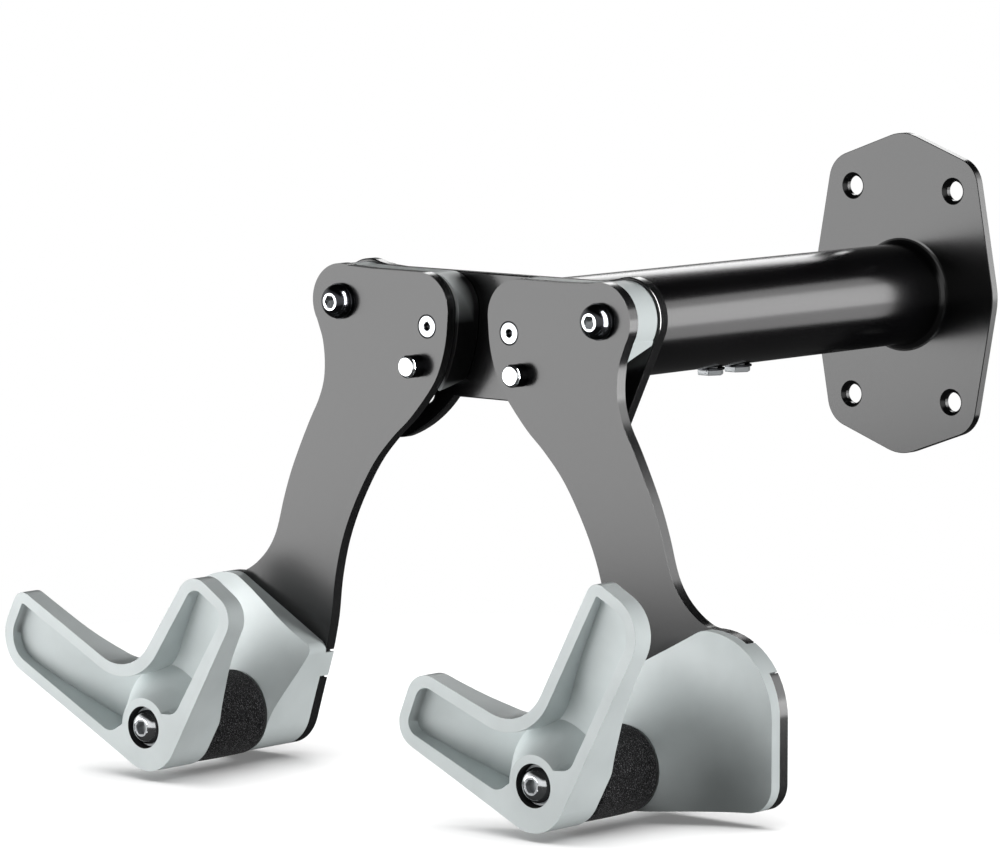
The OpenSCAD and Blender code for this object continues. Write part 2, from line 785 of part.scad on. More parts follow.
module right_hook() {
    color(grey) translate([hub_x, -hook_back, -hub_drop]) rotate([90, 0, 0])
        rotate([0, 0, right_hook_turn]) mirror([0, 1, 0]) hook_shape();
}

module right_pivot_bolt() pivot_bolt();
module right_pivot_washers() pivot_washers();
module right_pivot_bush() pivot_bush();
module right_pivot_nut() pivot_nut();
module right_arm_plate() arm_plate();
module right_spacer() spacer();
module right_spacer_screw() spacer_screw();
module right_spacer_nut() spacer_nut();
module right_pin_ring() pin_ring();
module right_lock_pin() lock_pin();
module right_shield() shield();
module right_core_tube() core_tube();
module right_foam_sleeve() foam_sleeve();
module right_hook_bolt() hook_bolt();
module right_hook_washers() hook_washers();
module right_swivel_washer() swivel_washer();
module right_hook_nut() hook_nut();

wall_plate();
wall_weld();
main_tube();
lock_bolts();
lock_washers();
clamp_bar();
inner_tube();
head_plate();
head_weld();
on_left() pivot_bolt();  // left_pivot_bolt
right_pivot_bolt();
on_left() pivot_washers();  // left_pivot_washers
right_pivot_washers();
on_left() pivot_bush();  // left_pivot_bush
right_pivot_bush();
on_left() pivot_nut();  // left_pivot_nut
right_pivot_nut();
on_left() arm_plate();  // left_arm_plate
right_arm_plate();
on_left() spacer();  // left_spacer
right_spacer();
on_left() spacer_screw();  // left_spacer_screw
right_spacer_screw();
on_left() spacer_nut();  // left_spacer_nut
right_spacer_nut();
on_left() pin_ring();  // left_pin_ring
right_pin_ring();
on_left() lock_pin();  // left_lock_pin
right_lock_pin();
on_left() shield();  // left_shield
right_shield();
on_left() core_tube();  // left_core_tube
right_core_tube();
on_left() foam_sleeve();  // left_foam_sleeve
right_foam_sleeve();
on_left() hook_bolt();  // left_hook_bolt
right_hook_bolt();
on_left() hook_washers();  // left_hook_washers
right_hook_washers();
on_left() swivel_washer();  // left_swivel_washer
right_swivel_washer();
on_left() hook_nut();  // left_hook_nut
right_hook_nut();
left_hook();
right_hook();
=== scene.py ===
import json
import math

import bmesh
import bpy
from mathutils import Matrix, Vector


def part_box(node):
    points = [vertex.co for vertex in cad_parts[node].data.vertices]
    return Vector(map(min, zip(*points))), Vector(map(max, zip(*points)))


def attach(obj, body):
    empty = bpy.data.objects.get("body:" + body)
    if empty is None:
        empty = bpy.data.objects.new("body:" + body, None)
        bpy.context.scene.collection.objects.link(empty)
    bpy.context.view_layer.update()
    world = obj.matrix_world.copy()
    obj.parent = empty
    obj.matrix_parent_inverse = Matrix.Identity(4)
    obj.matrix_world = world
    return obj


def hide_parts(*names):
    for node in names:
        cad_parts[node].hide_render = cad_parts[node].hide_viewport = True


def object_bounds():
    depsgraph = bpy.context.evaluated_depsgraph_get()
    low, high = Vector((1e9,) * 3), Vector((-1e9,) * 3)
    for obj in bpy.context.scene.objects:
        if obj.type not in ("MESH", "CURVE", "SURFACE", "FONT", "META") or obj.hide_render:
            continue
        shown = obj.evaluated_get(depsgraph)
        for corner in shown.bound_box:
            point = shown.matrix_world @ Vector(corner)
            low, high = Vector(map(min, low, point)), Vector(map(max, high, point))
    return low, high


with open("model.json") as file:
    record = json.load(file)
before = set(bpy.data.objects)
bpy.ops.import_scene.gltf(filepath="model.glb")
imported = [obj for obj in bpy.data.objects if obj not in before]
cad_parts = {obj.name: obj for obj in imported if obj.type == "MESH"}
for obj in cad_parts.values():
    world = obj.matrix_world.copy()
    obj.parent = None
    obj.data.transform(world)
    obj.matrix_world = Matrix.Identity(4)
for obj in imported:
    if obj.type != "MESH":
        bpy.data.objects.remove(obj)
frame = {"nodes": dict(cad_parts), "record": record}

bl_info = {
    "name": "Bike wall mount",
    "version": (1, 0, 0),
    "blender": (4, 5, 0),
    "location": "View3D > Sidebar > Wall mount",
    "description": "Dresses the CAD frame of a bike wall mount: powder-coated steel, moulded "
                   "grips, foam and fasteners",
    "category": "Object",
}

CAD_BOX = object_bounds()
NODES = frame["nodes"]
BODY_OF = {node: body for body, members in frame["record"]["behaviour"]["bodies"].items()
           for node in members}
SIDES = ("left", "right")

# Radii of the rounded edges that no setting gives, in metres; HOOK_RIMS is for the loops in the
# hook's front plane, the longest first
TUBE_EDGE = 0.0004
SPACER_EDGE = 0.0006
HEAD_EDGE = 0.0002
NUT_EDGE = 0.0004
SCREW_EDGE = 0.0006
LOCK_BOLT_EDGE = 0.00035
LOCK_WASHER_EDGE = 0.00015
HOOK_RIMS = (0.0005, 0.0012, 0.0004)

# Where the faces lie that get another material, in metres from the bolt's axis and from the front:
# painted shade in the hooks' sinks, painted light in the bolts' sockets and a painted shadow ring
# behind the screws' faces
SINK_RADIUS, SINK_DEPTH = 0.0088, 0.0055
SOCKET_RADIUS, SOCKET_DEPTH = 0.0036, 0.0031
SCREW_FACE_DEPTH = 0.0002

# The spacers' painted shade, black, in metres: between which distances from the middle it ends, how
# far behind the front it is full, and between which distances below the top it grows
SPACER_INNER_X, SPACER_OUTER_X = 0.016, 0.021
SPACER_SHADE_DEPTH = 0.0095
SPACER_SHADE_FROM, SPACER_SHADE_TO = 0.004, 0.021

# The foam sleeves' wall and bulge in metres, and the steps of a rounded end, the side and the turn
SLEEVE_WALL, SLEEVE_BULGE = 0.0088, 0.0002
END_STEPS, SIDE_STEPS, TURN_STEPS = 6, 12, 120

# Distances in metres at which the vertices of a CAD copy and of a sleeve merge, and at which they lie
# in the front plane; angles in degrees of flat faces, of rounded edges and of edges of a rim
MERGE_DISTANCE, SEAM_DISTANCE, PLANE_DISTANCE = 2e-6, 1e-6, 1e-5
FLAT_ANGLE, EDGE_ANGLE, RIM_ANGLE = 0.3, 24, 30

# The floor's middle in metres, and the shares of its radius between which it fades to white. The
# pairs are its own glow, the light it gives back and its white edge, in reflections and to the
# camera.
FLOOR_Y = -0.3
FADE_FROM, FADE_TO = 0.5, 0.95
FLOOR_GLOW = (0.02, 0.16)
FLOOR_SHARE = (0.017, 0.56)
FLOOR_WHITE = (0.06, 1.0)

# The backdrop in reflections: the axis along which its ceiling, ground and rear wall change, where
# the direction's share of it begins and ends to do so, and how bright they are there
CEILING = ("Z", math.sin(math.radians(22)), math.sin(math.radians(36)), 1.0, 0.02)
GROUND = ("Z", math.sin(math.radians(-30)), math.sin(math.radians(-4)), 0.06, 1.0)
REAR_WALL = ("Y", -0.1, 0.4, 1.0, 0.15)

# Millimetres in a metre, the values between which noise rises in clouds and in fine marks, and the
# colour sockets of a Mix node
MM = 1000
CLOUD_LOW, CLOUD_HIGH = 0.35, 0.65
MARKS_LOW, MARKS_HIGH = 0.3, 0.7
MIX_FIRST, MIX_SECOND, MIX_RESULT = 6, 7, 2

# The photograph's camera, in degrees and metres
PHOTO_AZIMUTH, PHOTO_ELEVATION, PHOTO_DISTANCE = 40.7918, 6.4478, 2.47157
PHOTO_RIGHT, PHOTO_UP = -0.176288, -0.057850

# What some lamps light, by words in the pieces' names: the shields, the edges and the bolts have
# lamps of their own, as in a studio with flags between them
THE_FLOOR, THE_SHIELDS = "the_floor", "the_shields"
ALL_BUT_FLOOR, ALL_BUT_SHIELDS = "all_but_the_floor", "all_but_the_floor_and_shields"
LIT_ALONE = {
    THE_SHIELDS: ("shield",),
    "the_right_arm_plate": ("right_arm_plate",),
    "tube_and_wall_plate": ("tube", "wall_plate", "pivot_bolt", "hook_bolt"),
    "arm_plates_bolts_and_pins": ("arm_plate", "head_plate", "pivot_bolt", "hook_bolt", "pin"),
}

# Name; azimuth from the front and elevation in degrees; distance, width and height in metres; the
# setting that gives the radiance, and the share of it; whether matte and shiny surfaces show it;
# what it lights
LAMPS = (
    ("front_window", -43, -7, 2.1, 2.4, 1.8, "window", 1.0, True, True, ALL_BUT_SHIELDS),
    ("shield_key", -62, 12, 1.8, 1.6, 1.3, "shield", 1.0, True, False, THE_SHIELDS),
    ("shield_window", -43, 10, 2.1, 2.4, 1.0, "window", 0.9, True, True, THE_SHIELDS),
    ("front_fill", -24, -24, 1.9, 1.2, 0.9, "front", 1.0, True, False, ALL_BUT_SHIELDS),
    ("side_window", 118, 2, 2.2, 1.2, 1.2, "side", 1.0, True, False, ALL_BUT_FLOOR),
    ("right_fill", 78, 0, 2.2, 1.0, 1.0, "right", 1.0, True, False, ALL_BUT_SHIELDS),
    ("top_lamp", 0, 84, 1.2, 0.35, 0.35, "top", 1.0, True, False, ALL_BUT_FLOOR),
    ("overhead", 0, 88, 1.2, 3.0, 2.4, "overhead", 1.0, True, False, THE_FLOOR),
    ("rear_strip", 140, 10, 1.2, 0.5, 0.5, "strip", 0.52, False, True, "tube_and_wall_plate"),
    ("rear_glow", 142, 6, 1.2, 0.7, 1.1, "strip", 0.4, False, True, "tube_and_wall_plate"),
    ("rim_strip", -150, 26, 1.2, 0.5, 0.3, "strip", 0.6, False, True, ALL_BUT_FLOOR),
    ("edge_strip", 140, -7, 1.2, 0.6, 0.45, "strip", 1.0, False, True, "the_right_arm_plate"),
    ("edge_glow", 141, 13, 1.2, 0.6, 0.5, "strip", 0.5, False, True, "the_right_arm_plate"),
    ("right_strip", 90, 2, 0.75, 0.5, 3.0, "glint", 1.0, False, True, "arm_plates_bolts_and_pins"),
)
LAMPS_AIM_AT = Vector((0.0, -0.22, -0.06))


# Colour and material helpers

def linear(hex_colour):
    """The linear colour for an sRGB hex value."""
    parts = [int(hex_colour[i:i + 2], 16) / 255 for i in (1, 3, 5)]
    return tuple(c / 12.92 if c <= 0.04045 else ((c + 0.055) / 1.055) ** 2.4
                 for c in parts) + (1.0,)


def add_node(material, kind, inputs=None, **settings):
    """Adds a node to a material or world, with its settings, and fills or links its inputs.

    An input is given a value, a hex colour, a socket, or a node, of which it takes the first
    output."""
    tree = material.node_tree
    node = tree.nodes.new(kind)
    for name, value in settings.items():
        setattr(node, name, value)
    for name, value in (inputs or {}).items():
        if isinstance(value, bpy.types.Node):
            value = value.outputs[0]
        if isinstance(value, bpy.types.NodeSocket):
            tree.links.new(value, node.inputs[name])
        else:
            node.inputs[name].default_value = linear(value) if isinstance(value, str) else value
    return node


def start_material(name):
    """An empty node material, and the object's own coordinates in metres."""
    material = bpy.data.materials.new(name)
    material.use_nodes = True
    material.node_tree.nodes.clear()
    place = add_node(material, "ShaderNodeTexCoord").outputs["Object"]
    return material, place


def clouded(material, place, size_mm, detail, first, second):
    """A colour that drifts between two hex colours in clouds about size_mm across."""
    cloud = add_node(material, "ShaderNodeTexNoise", {
        "Vector": place, "Scale": MM / size_mm, "Detail": detail})
    share = add_node(material, "ShaderNodeMapRange", {
        "Value": cloud, "From Min": CLOUD_LOW, "From Max": CLOUD_HIGH})
    return add_node(material, "ShaderNodeMix", {
        "Factor": share, MIX_FIRST: first, MIX_SECOND: second},
        data_type="RGBA").outputs[MIX_RESULT]


def powder_coated_steel(name, settings, roughness):
    """Sheet steel with a satin black powder coat."""
    # The coat flows out to shallow orange peel about 1.6 mm across, which breaks the reflections a
    # little; real peel is nearer 1 mm and would not show at this size. Over a laser-cut edge the
    # coat can be given another roughness.
    material, place = start_material(name)
    peel = add_node(material, "ShaderNodeTexNoise", {
        "Vector": place, "Scale": MM / 1.6, "Detail": 1.0})
    fine = add_node(material, "ShaderNodeTexNoise", {"Vector": place, "Scale": MM / 0.45})
    rough = add_node(material, "ShaderNodeMapRange", {
        "Value": fine, "From Min": MARKS_LOW, "From Max": MARKS_HIGH,
        "To Min": roughness - 0.03, "To Max": roughness + 0.03})
    surface = add_node(material, "ShaderNodeBump", {
        "Height": peel, "Distance": 0.003 / MM, "Strength": 0.5})
    surface = add_node(material, "ShaderNodeBump", {
        "Height": fine, "Distance": 0.002 / MM, "Strength": 0.5, "Normal": surface})
    coat = add_node(material, "ShaderNodeBsdfPrincipled", {
        "Base Color": clouded(material, place, 40, 3.0, settings.dark, settings.light),
        "Roughness": rough, "Normal": surface, "IOR": 1.5, "Specular IOR Level": 0.55})
    add_node(material, "ShaderNodeOutputMaterial", {"Surface": coat})


def spark_pits(material, place):
    """The pits that a spark-eroded mould leaves, and their bump."""
    pits = add_node(material, "ShaderNodeTexNoise", {
        "Vector": place, "Scale": MM / 0.7, "Roughness": 0.6})
    surface = add_node(material, "ShaderNodeBump", {
        "Height": pits, "Distance": 0.012 / MM, "Strength": 0.55})
    return pits, surface


def moulded_nylon(settings):
    """Glass-filled nylon, injection moulded with a fine spark-eroded texture."""
    # Spark erosion leaves tiny pits about 0.4 mm apart, so the plastic looks soft and even, never
    # shiny; the pits are drawn at 0.7 mm so that they show.
    material, place = start_material("moulded_nylon")
    pits, surface = spark_pits(material, place)
    rough = add_node(material, "ShaderNodeMapRange", {
        "Value": pits, "From Min": MARKS_LOW, "From Max": MARKS_HIGH,
        "To Min": settings.roughness - 0.06, "To Max": settings.roughness + 0.06})
    plastic = add_node(material, "ShaderNodeBsdfPrincipled", {
        "Base Color": clouded(material, place, 25, 3.0, settings.dark, settings.light),
        "Roughness": rough, "Normal": surface, "IOR": 1.53, "Specular IOR Level": 0.45})
    add_node(material, "ShaderNodeOutputMaterial", {"Surface": plastic})


def nylon_with_painted_shade(settings):
    """The spacers' nylon, with painted light and painted shade on the inner side."""
    # The side towards the other arm is painted: pale, painted light, only at the top of the arm
    # plate, and black, painted shade, behind and below it, which sets the two arms off from the head
    # plate.
    material, place = start_material("moulded_nylon_spacer")
    surface = spark_pits(material, place)[1]
    split = add_node(material, "ShaderNodeSeparateXYZ", {"Vector": place}).outputs
    across = add_node(material, "ShaderNodeMath", {0: split["X"]}, operation="ABSOLUTE")
    low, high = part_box("left_spacer")
    inner, deep, down = (
        add_node(material, "ShaderNodeMapRange", {
            "Value": value, "From Min": start, "From Max": end, "To Min": first, "To Max": last})
        for value, start, end, first, last in (
            (across, SPACER_INNER_X, SPACER_OUTER_X, 1.0, 0.0),
            (split["Y"], low.y, low.y + SPACER_SHADE_DEPTH, 0.0, 1.0),
            (split["Z"], high.z - SPACER_SHADE_TO, high.z - SPACER_SHADE_FROM, 1.0, 0.0)))
    painted_shade_behind_or_below = add_node(material, "ShaderNodeMath", {0: deep, 1: down}, operation="MAXIMUM")
    shade = add_node(material, "ShaderNodeMath", {0: inner, 1: painted_shade_behind_or_below}, operation="MULTIPLY")
    # Painted light: towards the middle the colour turns paler than the plastic, near white, before
    # the painted shade blackens it.
    lit = add_node(material, "ShaderNodeMix", {
        "Factor": inner, MIX_FIRST: settings.light, MIX_SECOND: "#f6fbfb"}, data_type="RGBA")
    colour = add_node(material, "ShaderNodeMix", {
        "Factor": shade, MIX_FIRST: lit.outputs[MIX_RESULT], MIX_SECOND: "#0b0b0c"},
        data_type="RGBA")
    plastic = add_node(material, "ShaderNodeBsdfPrincipled", {
        "Base Color": colour.outputs[MIX_RESULT], "Roughness": settings.roughness,
        "Normal": surface, "IOR": 1.53, "Specular IOR Level": 0.45})
    add_node(material, "ShaderNodeOutputMaterial", {"Surface": plastic})


def natural_nylon():
    """Unfilled nylon, stamped from sheet."""
    # Plain nylon is off-white and a little waxy.
    material, place = start_material("natural_nylon")
    cloud = add_node(material, "ShaderNodeTexNoise", {"Vector": place, "Scale": MM / 2})
    colour = add_node(material, "ShaderNodeMix", {
        "Factor": cloud, MIX_FIRST: "#d9d8d0", MIX_SECOND: "#e6e5de"}, data_type="RGBA")
    surface = add_node(material, "ShaderNodeBump", {
        "Height": cloud, "Distance": 0.01 / MM, "Strength": 0.4})
    nylon = add_node(material, "ShaderNodeBsdfPrincipled", {
        "Base Color": colour.outputs[MIX_RESULT], "Roughness": 0.4, "Normal": surface,
        "IOR": 1.53})
    add_node(material, "ShaderNodeOutputMaterial", {"Surface": nylon})


def closed_cell_foam(settings):
    """Black closed-cell rubber foam with a ground skin."""
    # Cut cells about 0.9 mm across leave dark pits and pale crumbs between them, so the sleeve
    # looks speckled and catches no highlight.
    material, place = start_material("closed_cell_foam")
    cells = add_node(material, "ShaderNodeTexVoronoi", {
        "Vector": place, "Scale": MM / settings.cell}, feature="F1")
    crumbs = add_node(material, "ShaderNodeTexNoise", {
        "Vector": place, "Scale": MM / 0.5, "Detail": 3.0, "Roughness": 0.7})
    speck = add_node(material, "ShaderNodeMapRange", {
        "Value": crumbs, "From Min": 0.54, "From Max": 0.72})
    colour = add_node(material, "ShaderNodeMix", {
        "Factor": speck, MIX_FIRST: settings.dark, MIX_SECOND: settings.light},
        data_type="RGBA")
    surface = add_node(material, "ShaderNodeBump", {
        "Height": cells, "Distance": 0.35 / MM, "Strength": 0.8})
    surface = add_node(material, "ShaderNodeBump", {
        "Height": crumbs, "Distance": 0.2 / MM, "Strength": 0.8, "Normal": surface})
    foam = add_node(material, "ShaderNodeBsdfPrincipled", {
        "Base Color": colour.outputs[MIX_RESULT], "Roughness": 0.93, "Normal": surface,
        "IOR": 1.5, "Specular IOR Level": 0.3, "Sheen Weight": 0.04, "Sheen Roughness": 0.6})
    add_node(material, "ShaderNodeOutputMaterial", {"Surface": foam})


def plated_steel(name, deep, pale, roughness, streak):
    """Steel that was turned or cold formed and then plated."""
    # Plating follows the fine marks of forming, so the glint is bright with a slightly broken edge.
    # Real marks are finer; they are drawn at 0.5 mm so that they show.
    material, place = start_material(name)
    marks = add_node(material, "ShaderNodeTexNoise", {
        "Vector": place, "Scale": MM / 0.5, "Detail": 3.0, "Roughness": 0.6})
    rough = add_node(material, "ShaderNodeMapRange", {
        "Value": marks, "From Min": MARKS_LOW, "From Max": MARKS_HIGH,
        "To Min": roughness - streak, "To Max": roughness + streak})
    surface = add_node(material, "ShaderNodeBump", {
        "Height": marks, "Distance": 0.003 / MM, "Strength": 0.5})
    steel = add_node(material, "ShaderNodeBsdfPrincipled", {
        "Base Color": clouded(material, place, 3.0, 2.0, deep, pale), "Metallic": 1.0,
        "Roughness": rough, "Normal": surface})
    add_node(material, "ShaderNodeOutputMaterial", {"Surface": steel})


def tumbled_steel():
    """Plain steel of the hook washers and the lock bolts, dull from the tumbling drum."""
    # Fine peening scatters the light evenly, so the washer at the bottom of the sink reads as a
    # grey crescent, and the lock bolts as plain grey. In the hook bolts' sockets, under a polished
    # head, the plain grey is painted light. Real dents are finer; they are drawn at 0.3 mm so that
    # they show.
    material, place = start_material("tumbled_steel")
    dents = add_node(material, "ShaderNodeTexNoise", {
        "Vector": place, "Scale": MM / 0.3, "Detail": 3.0, "Roughness": 0.6})
    colour = add_node(material, "ShaderNodeMix", {
        "Factor": dents, MIX_FIRST: "#9a9d9f", MIX_SECOND: "#b4b7b9"}, data_type="RGBA")
    surface = add_node(material, "ShaderNodeBump", {
        "Height": dents, "Distance": 0.01 / MM, "Strength": 0.5})
    steel = add_node(material, "ShaderNodeBsdfPrincipled", {
        "Base Color": colour.outputs[MIX_RESULT], "Roughness": 0.5, "Normal": surface,
        "Metallic": 0.6})
    add_node(material, "ShaderNodeOutputMaterial", {"Surface": steel})


def moulded_rubber():
    """Nitrile rubber, moulded; in the hooks' sinks the same black is painted shade."""
    # Rubber drinks light: nearly black, with a wide dull sheen.
    material, place = start_material("moulded_rubber")
    skin = add_node(material, "ShaderNodeTexNoise", {"Vector": place, "Scale": MM / 0.6})
    colour = add_node(material, "ShaderNodeMix", {
        "Factor": skin, MIX_FIRST: "#141415", MIX_SECOND: "#1f1f20"}, data_type="RGBA")
    surface = add_node(material, "ShaderNodeBump", {
        "Height": skin, "Distance": 0.01 / MM, "Strength": 0.5})
    rubber = add_node(material, "ShaderNodeBsdfPrincipled", {
        "Base Color": colour.outputs[MIX_RESULT], "Roughness": 0.7, "Normal": surface})
    add_node(material, "ShaderNodeOutputMaterial", {"Surface": rubber})


# Settings, one group for each finish and one for the stage

def colour_setting(name, description, default):
    """A colour as an sRGB hex value."""
    return bpy.props.StringProperty(name=name, description=description + ", sRGB hex",
                                    default=default)


def share_setting(name, description, default):
    """A number from 0 to 1."""
    return bpy.props.FloatProperty(name=name, description=description, default=default, min=0,
                                   max=1, subtype="FACTOR")


def length_setting(name, description, default, precision=5):
    """A length in metres."""
    return bpy.props.FloatProperty(name=name, description=description, default=default,
                                   unit="LENGTH", subtype="DISTANCE", precision=precision)


def number_setting(name, description, default, least=0.0):
    """A number that is not less than the least."""
    return bpy.props.FloatProperty(name=name, description=description, default=default, min=least)


class WallMountPaint(bpy.types.PropertyGroup):
    """Satin black powder coat of the steel parts"""
    dark: colour_setting("Dark", "Darker cloud of the coat", "#050506")
    light: colour_setting("Light", "Lighter cloud of the coat", "#0a0a0b")
    roughness: share_setting("Roughness", "Roughness of the coat", 0.2)
    cut: share_setting("Cut edge", "Roughness over a cut edge", 0.2)
    edge: length_setting("Edge radius", "Rounding of the coated edges", 0.0009)


class WallMountPlastic(bpy.types.PropertyGroup):
    """Pale grey glass-filled nylon of hooks, shields and spacers"""
    dark: colour_setting("Dark", "Darker cloud of the plastic", "#c3caca")
    light: colour_setting("Light", "Lighter cloud of the plastic", "#ccd3d3")
    roughness: share_setting("Roughness", "Roughness of the texture", 0.42)
    edge: length_setting("Edge radius", "Rounding of the moulded edges", 0.0009)


class WallMountFoam(bpy.types.PropertyGroup):
    """Foam sleeves between shield and hook"""
    dark: colour_setting("Dark", "Foam between the crumbs", "#060607")
    light: colour_setting("Light", "Pale crumbs", "#7c7c7e")
    cell: number_setting("Cell size", "Width of a cut cell in millimetres", 0.9, least=0.2)
    crown: length_setting("End rounding", "Rounding of the sleeve's ends", 0.0016)


class WallMountStage(bpy.types.PropertyGroup):
    """Floor, backdrop, lamps and camera"""
    floor_gap: length_setting("Floor gap", "Gap between the hooks and the floor", 0.0035,
                              precision=4)
    floor_radius: length_setting("Floor radius", "Radius of the floor", 0.5, precision=3)
    fill: number_setting("Fill", "Brightness of the even fill", 0.1)
    window: number_setting("Front window", "Radiance of the front window", 4.3)
    front: number_setting("Front fill", "Radiance of the front fill", 4.5)
    side: number_setting("Side window", "Radiance of the side window", 11.0)
    top: number_setting("Top lamp", "Radiance of the top lamp", 2.2)
    strip: number_setting("Rear strips", "Radiance of the brightest strip behind the mount", 6.0)
    glint: number_setting("Right strip", "Radiance of the right strip", 45.0)
    shield: number_setting("Shield key", "Radiance of the lamp on the shields", 6.0)
    right: number_setting("Right fill", "Radiance of the right fill", 2.0)
    overhead: number_setting("Overhead", "Radiance of the lamp for the floor's shadow", 3.9)
    lens: number_setting("Lens", "Focal length in millimetres on a 36 mm frame", 205.54, least=50)


# Mesh helpers

def finish_object(name, bm, body, material, smooth_angle):
    """Makes a mesh object from the bmesh, placed in its mesh, and lets it ride on its body."""
    mesh = bpy.data.meshes.new(name)
    bm.to_mesh(mesh)
    bm.free()
    for face in mesh.polygons:
        face.use_smooth = True
    mesh.set_sharp_from_angle(angle=math.radians(smooth_angle))
    mesh.materials.append(material)
    piece = bpy.data.objects.new(name, mesh)
    bpy.context.scene.collection.objects.link(piece)
    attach(piece, body)
    return piece


def merged(node):
    """A bmesh of a CAD node, its loose triangles merged to whole faces."""
    bm = bmesh.new()
    bm.from_mesh(NODES[node].data)
    bmesh.ops.remove_doubles(bm, verts=bm.verts, dist=MERGE_DISTANCE)
    bmesh.ops.dissolve_degenerate(bm, edges=bm.edges, dist=MERGE_DISTANCE)
    bmesh.ops.dissolve_limit(bm, angle_limit=math.radians(FLAT_ANGLE),
                             use_dissolve_boundaries=False, verts=bm.verts, edges=bm.edges,
                             delimit=set())
    return bm


def rim_loops(bm, y):
    """The closed loops of sharp edges in the front plane at y, from the longest to the shortest."""
    left = {edge for edge in bm.edges if all(abs(v.co.y - y) < PLANE_DISTANCE for v in edge.verts)
            and edge.calc_face_angle(0) > math.radians(RIM_ANGLE)}
    loops = []
    while left:
        loop, reached = [], [left.pop()]
        while reached:
            edge = reached.pop()
            loop.append(edge)
            for vert in edge.verts:
                for other in vert.link_edges:
                    if other in left:
                        left.remove(other)
                        reached.append(other)
        loops.append(loop)
    return sorted(loops, key=lambda loop: -sum(edge.calc_length() for edge in loop))


def near_axis(centre, radius, back):
    """Picks the faces in front of y = back and within radius of the line along y through centre."""
    def picks(face):
        return all(v.co.y < back and math.hypot(v.co.x - centre.x, v.co.z - centre.z) < radius
                   for v in face.verts)
    return picks


def reaching_behind(y):
    """Picks the faces with a corner behind the plane at y."""
    return lambda face: any(v.co.y > y for v in face.verts)


def edged_copy(node, material, radius, segments=3, rims=(), inside=1.0, other=None,
               is_other=None, smooth_angle=60):
    """A copy of a CAD node with rounded edges, which takes its place.

    rims gives other radii for the loops in the front plane, the longest first, and inside is the
    share of the radius that hollow edges get. Faces that is_other picks get the other material."""
    bm = merged(node)
    weight = bm.edges.layers.float.new("bevel_weight_edge")
    widest = max((radius,) + tuple(rims))
    for edge in bm.edges:
        if len(edge.link_faces) == 2 and edge.calc_face_angle(0) > math.radians(EDGE_ANGLE):
            edge[weight] = radius / widest * (1.0 if edge.is_convex else inside)
    if rims:
        front = min(v.co.y for v in bm.verts)
        for size, loop in zip(rims, rim_loops(bm, front)):
            for edge in loop:
                edge[weight] = size / widest
    if other is not None:
        for face in bm.faces:
            face.material_index = 1 if is_other(face) else 0
    piece = finish_object(node + "_dressed", bm, BODY_OF[node], material, smooth_angle)
    if other is not None:
        piece.data.materials.append(other)
    rounding = piece.modifiers.new("rounded_edges", "BEVEL")
    rounding.width = widest
    rounding.segments = segments
    rounding.limit_method = "WEIGHT"
    rounding.miter_outer = "MITER_ARC"
    rounding.use_clamp_overlap = True
    shading = piece.modifiers.new("flat_faces_stay_flat", "WEIGHTED_NORMAL")
    shading.mode = "FACE_AREA"
    shading.weight = 60
    shading.keep_sharp = True
    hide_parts(node)


def dress(node, material):
    """Gives a carried-over CAD node its material."""
    piece = NODES[node]
    piece.data.materials.clear()
    piece.data.materials.append(material)


def made(name):
    """A material that an earlier operator has made."""
    return bpy.data.materials[name]


# Operators, one for each piece or group of like pieces

class WALLMOUNT_OT_finishes(bpy.types.Operator):
    """Makes the materials of every part"""
    bl_idname = "wallmount.finishes"
    bl_label = "Finishes"

    def execute(self, context):
        scene = context.scene
        paint = scene.wall_mount_paint
        powder_coated_steel("powder_coated_steel", paint, paint.roughness)
        powder_coated_steel("powder_coated_cut_edge", paint, paint.cut)
        moulded_nylon(scene.wall_mount_plastic)
        nylon_with_painted_shade(scene.wall_mount_plastic)
        closed_cell_foam(scene.wall_mount_foam)
        plated_steel("zinc_plated_steel", "#9a9da1", "#aeb1b4", roughness=0.16, streak=0.06)
        plated_steel("polished_steel", "#cfd2d4", "#dcdee0", roughness=0.13, streak=0.03)
        plated_steel("black_nickel_steel", "#3e3f42", "#46474a", roughness=0.13, streak=0.02)
        moulded_rubber()
        natural_nylon()
        tumbled_steel()
        return {"FINISHED"}


class WALLMOUNT_OT_plates(bpy.types.Operator):
    """Rounds the edges of the laser-cut plates and coats them"""
    bl_idname = "wallmount.plates"
    bl_label = "Steel plates"

    def execute(self, context):
        edge = context.scene.wall_mount_paint.edge
        for node in ("wall_plate", "head_plate", "left_arm_plate", "right_arm_plate"):
            edged_copy(node, made("powder_coated_steel"), edge,
                       other=made("powder_coated_cut_edge"),
                       is_other=lambda face: abs(face.normal.y) < 0.5)
        return {"FINISHED"}


class WALLMOUNT_OT_tubes(bpy.types.Operator):
    """Coats the telescopic tubes and their welds"""
    bl_idname = "wallmount.tubes"
    bl_label = "Tubes and welds"

    def execute(self, context):
        edged_copy("main_tube", made("powder_coated_steel"), TUBE_EDGE)
        for node in ("inner_tube", "wall_weld", "head_weld"):
            dress(node, made("powder_coated_steel"))
        return {"FINISHED"}


class WALLMOUNT_OT_spacers(bpy.types.Operator):
    """Rounds the edges of the moulded spacers behind the arms"""
    bl_idname = "wallmount.spacers"
    bl_label = "Spacers"

    def execute(self, context):
        for side in SIDES:
            # The spacers' material holds painted light and painted shade on their inner side.
            edged_copy(side + "_spacer", made("moulded_nylon_spacer"), SPACER_EDGE)
        return {"FINISHED"}


class WALLMOUNT_OT_shields(bpy.types.Operator):
    """Rounds the rims of the flared shields"""
    bl_idname = "wallmount.shields"
    bl_label = "Shields"

    def execute(self, context):
        edge = context.scene.wall_mount_plastic.edge
        for side in SIDES:
            edged_copy(side + "_shield", made("moulded_nylon"), edge, inside=0.4)
        return {"FINISHED"}


